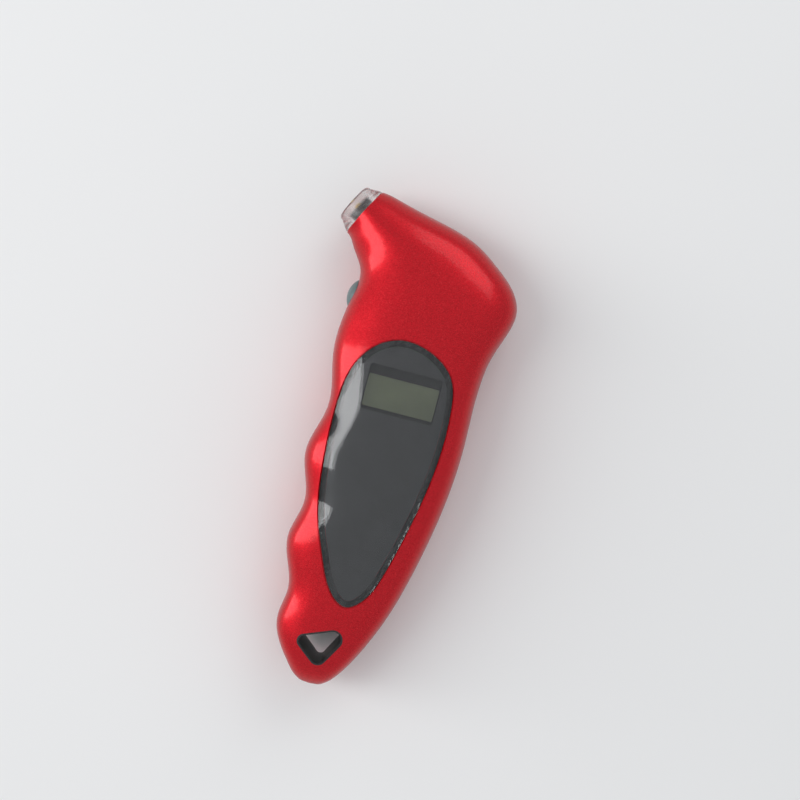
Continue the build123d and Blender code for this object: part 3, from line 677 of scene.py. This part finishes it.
class GAUGE_OT_button(bpy.types.Operator):
    """Raise the oval button from its flange to a soft dome and draw its post out behind"""

    bl_idname = "gauge.button"
    bl_label = "Button"

    def execute(self, context):
        low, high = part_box("power_button")
        tip, height, end = low.x, (low.y + high.y) / 2, high.x
        flange_face, flange_back = tip + 5.0 * MM, tip + 6.0 * MM
        half_long, half_wide, flange_rim, post_r = 5.0 * MM, 3.9 * MM, 1.2 * MM, 1.5 * MM
        facing = (0, -math.pi / 2, 0)
        sides, post_sides = 80, 40
        button = start(bpy.ops.mesh.primitive_circle_add, vertices=sides, radius=1, fill_type="NGON",
                       location=(flange_face, height, PARTING_HEIGHT), rotation=facing)
        button.scale = (half_wide, half_long, 1)
        bpy.ops.object.transform_apply(location=False, rotation=True, scale=True)
        bpy.ops.object.mode_set(mode="EDIT")
        bpy.ops.mesh.select_all(action="SELECT")
        dome = flange_face - tip
        reach = half_long / (half_long + 0.9 * MM)
        steps = [(0.30, 1.0), (0.50, 1.0)]
        steps += [(math.sqrt(1 - (share * reach) ** 2), share)
                  for share in (0.985, 0.95, 0.90, 0.82, 0.72, 0.60, 0.46, 0.32, 0.18, 0.07)]
        rise, width = 0.0, 1.0
        for next_rise, next_width in steps:
            bpy.ops.mesh.extrude_region_move(TRANSFORM_OT_translate={
                "value": ((rise - next_rise) * dome, 0, 0)})
            centre = (flange_face - next_rise * dome, height, PARTING_HEIGHT)
            grow = next_width / width
            bpy.ops.transform.resize(value=(1, grow, grow), center_override=centre)
            rise, width = next_rise, next_width
        bpy.ops.object.mode_set(mode="OBJECT")
        flange = start(bpy.ops.mesh.primitive_cylinder_add, vertices=sides, radius=1, depth=1,
                       location=((flange_face + flange_back) / 2, height, PARTING_HEIGHT), rotation=facing)
        flange.scale = (half_wide + flange_rim, half_long + flange_rim, flange_back - flange_face)
        post = start(bpy.ops.mesh.primitive_cylinder_add, vertices=post_sides, radius=post_r,
                     depth=end - flange_back, location=((flange_back + end) / 2, height, PARTING_HEIGHT),
                     rotation=facing)
        join(button, flange, post)
        smooth(button)
        settle(button, "soft_button", "power_button", "button")
        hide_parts("power_button")
        return {"FINISHED"}


class GAUGE_OT_screws(bpy.types.Operator):
    """Turn the pan-head screws of the housing and the cover, with cross recesses and threads"""

    bl_idname = "gauge.screws"
    bl_label = "Screws"

    def execute(self, context):
        low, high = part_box("housing_screws")
        head_r, head_h, shank_r, recess = 2.3 * MM, 1.7 * MM, 1.1 * MM, 1.0 * MM
        first = None
        for number, centre in enumerate(quadrant_centres("housing_screws")):
            seat = Vector((centre.x, centre.y, low.z + head_h))
            if first is None:
                first_seat = seat
                screw = first = pan_screw(seat, head_r, head_h, shank_r, high.z - seat.z, recess)
            else:
                bpy.ops.object.select_all(action="DESELECT")
                first.select_set(True)
                context.view_layer.objects.active = first
                bpy.ops.object.duplicate()
                screw = context.active_object
                screw.location = seat - first_seat
            settle(screw, "housing_screw_%d" % (number + 1), HOUSING, "steel")
            if screw is first:
                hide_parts("housing_screws")
        low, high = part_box("battery_cover_screw")
        centre = middle("battery_cover_screw")
        head_r, head_h, shank_r, recess = 1.9 * MM, 1.3 * MM, 1.0 * MM, 0.75 * MM
        seat = Vector((centre.x, centre.y, low.z + head_h))
        screw = pan_screw(seat, head_r, head_h, shank_r, high.z - seat.z, recess)
        settle(screw, "cover_screw", "battery_cover_screw", "steel")
        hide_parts("battery_cover_screw")
        return {"FINISHED"}


class GAUGE_OT_battery_door(bpy.types.Operator):
    """Press the battery door from a rounded plate, with a ribbed thumb rest and a screw recess"""

    bl_idname = "gauge.battery_door"
    bl_label = "Battery door"

    def execute(self, context):
        low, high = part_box("battery_cover")
        centre = middle("battery_cover_screw")
        plate, hook = 1.3 * MM, 0.9 * MM
        bottom, top = low.z, low.z + plate
        door = rounded_box((low.x, low.y, bottom), (high.x, high.y, top), 2.75 * MM, 0.35 * MM)
        half, rest_low, rest_high = 4.6 * MM, high.y - 10.6 * MM, high.y - 2.2 * MM
        rest_floor = bottom + 0.55 * MM
        combine(door, rounded_box((centre.x - half, rest_low, bottom - MM),
                                  (centre.x + half, rest_high, rest_floor), 1.6 * MM, 0.25 * MM, 1))
        ribs, rib_half, rib_thick = 5, half - 0.9 * MM, 0.42 * MM
        spacing = (rest_high - rest_low) / (ribs + 1)
        for index in range(ribs):
            y = rest_low + (index + 1) * spacing
            rib = rounded_box((centre.x - rib_half, y - rib_thick, bottom + 0.06 * MM),
                              (centre.x + rib_half, y + rib_thick, rest_floor + 0.3 * MM),
                              0.3 * MM, 0.2 * MM)
            combine(door, rib, "UNION")
        # A hollow lip inside locates the door in the bay, and a drilled boss takes its screw.
        wall, lip_half = 1.0 * MM, 6.5 * MM
        lip_low = (centre.x - lip_half, centre.y + 4.2 * MM)
        lip_high = (centre.x + lip_half, centre.y + 26.4 * MM)
        lip = rounded_box((*lip_low, bottom + hook), (*lip_high, top + hook), 0.8 * MM)
        combine(lip, rounded_box((lip_low[0] + wall, lip_low[1] + wall, bottom),
                                 (lip_high[0] - wall, lip_high[1] - wall, top + 2 * MM), 0.4 * MM))
        combine(door, lip, "UNION")
        for radius, foot, head, operation in (
                (3.0 * MM, 0.7 * MM, 2.5 * MM, "UNION"),
                (2.2 * MM, -MM, 1.5 * MM, "DIFFERENCE"),
                (1.3 * MM, -MM, 4.0 * MM, "DIFFERENCE")):
            combine(door, round_post(centre.x, centre.y, radius, bottom + foot, bottom + head), operation)
        smooth(door, 30)
        settle(door, "battery_door", "battery_cover", "lacquer")
        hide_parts("battery_cover")
        return {"FINISHED"}


class GAUGE_OT_stage(bpy.types.Operator):
    """Pale floor, soft studio light and the camera"""

    bl_idname = "gauge.stage"
    bl_label = "Stage"

    def execute(self, context):
        stage = context.scene.gauge_stage
        floor = start(bpy.ops.mesh.primitive_plane_add, size=4.0, location=(0, 0, -0.2 * MM))
        floor.name = "floor"
        material, nodes, links, shader = new_material("pale_floor")
        place = object_place(nodes)
        colour = tuple(stage.floor_colour)
        links.new(ramp(nodes, links, noise(nodes, links, place, 0.2, 2),
                       [(0.3, shade(colour, 0.985)), (0.7, colour)]), shader.inputs["Base Color"])
        set_sockets(shader, Roughness=0.75)
        floor.data.materials.append(material)
        self.lights(context, stage)
        self.camera(context, stage)
        return {"FINISHED"}

    def lights(self, context, stage):
        """Tall key at the finger side, square fill beyond the head, and even surroundings."""
        for name, watts, size, spot in (
                ("key_light", stage.key_watts, (0.50, 2.4), (-1.25, -0.05, 0.62)),
                ("fill_light", stage.fill_watts, (0.90, 0.9), (0.35, 1.15, 0.95))):
            lamp = bpy.data.lights.new(name, "AREA")
            lamp.energy = watts
            lamp.shape = "RECTANGLE"
            lamp.size, lamp.size_y = size
            holder = bpy.data.objects.new(name, lamp)
            holder.location = spot
            holder.rotation_euler = (-Vector(spot)).to_track_quat("-Z", "Y").to_euler()
            context.scene.collection.objects.link(holder)
        world = bpy.data.worlds.new("surroundings")
        world.use_nodes = True
        back = world.node_tree.nodes["Background"]
        back.inputs["Color"].default_value = (0.95, 0.97, 1.0, 1)
        back.inputs["Strength"].default_value = stage.sky
        context.scene.world = world
        context.scene.view_settings.view_transform = "Standard"

    def camera(self, context, stage):
        """Straight down on the display side, with the grip leaning to the right."""
        lens = bpy.data.cameras.new("camera")
        holder = bpy.data.objects.new("camera", lens)
        lens.sensor_width = 36
        lens.lens = lens.sensor_width * stage.camera_height / stage.field
        aim = middle("display_lens") + Vector(stage.aim)
        holder.location = (aim.x, aim.y, PARTING_HEIGHT + stage.camera_height)
        holder.rotation_euler = (0, 0, stage.lean)
        context.scene.collection.objects.link(holder)
        context.scene.camera = holder


class GAUGE_PT_workshop(bpy.types.Panel):
    """Every piece of the gauge in the order it is made"""

    bl_idname = "GAUGE_PT_workshop"
    bl_label = "Pressure gauge"
    bl_space_type = "VIEW_3D"
    bl_region_type = "UI"
    bl_category = "Gauge"

    def draw(self, context):
        for operator in OPERATORS:
            self.layout.operator(operator.bl_idname)
        for name in SETTINGS:
            box = self.layout.box()
            group = getattr(context.scene, name)
            for setting in group.bl_rna.properties.keys():
                if setting not in ("rna_type", "name"):
                    box.prop(group, setting)


OPERATORS = (GAUGE_OT_finish_frame, GAUGE_OT_nozzle, GAUGE_OT_seal, GAUGE_OT_button, GAUGE_OT_screws,
             GAUGE_OT_battery_door, GAUGE_OT_stage)


def register():
    for group in SETTINGS.values():
        bpy.utils.register_class(group)
    for name, group in SETTINGS.items():
        setattr(bpy.types.Scene, name, bpy.props.PointerProperty(type=group))
    for operator in OPERATORS:
        bpy.utils.register_class(operator)
    bpy.utils.register_class(GAUGE_PT_workshop)


def unregister():
    bpy.utils.unregister_class(GAUGE_PT_workshop)
    for operator in reversed(OPERATORS):
        bpy.utils.unregister_class(operator)
    for name, group in reversed(list(SETTINGS.items())):
        delattr(bpy.types.Scene, name)
        bpy.utils.unregister_class(group)


def main():
    """Build the whole gauge."""
    register()
    bpy.ops.gauge.finish_frame()
    bpy.ops.gauge.nozzle()
    bpy.ops.gauge.seal()
    bpy.ops.gauge.button()
    bpy.ops.gauge.screws()
    bpy.ops.gauge.battery_door()
    bpy.ops.gauge.stage()


if __name__ == "__main__":
    main()
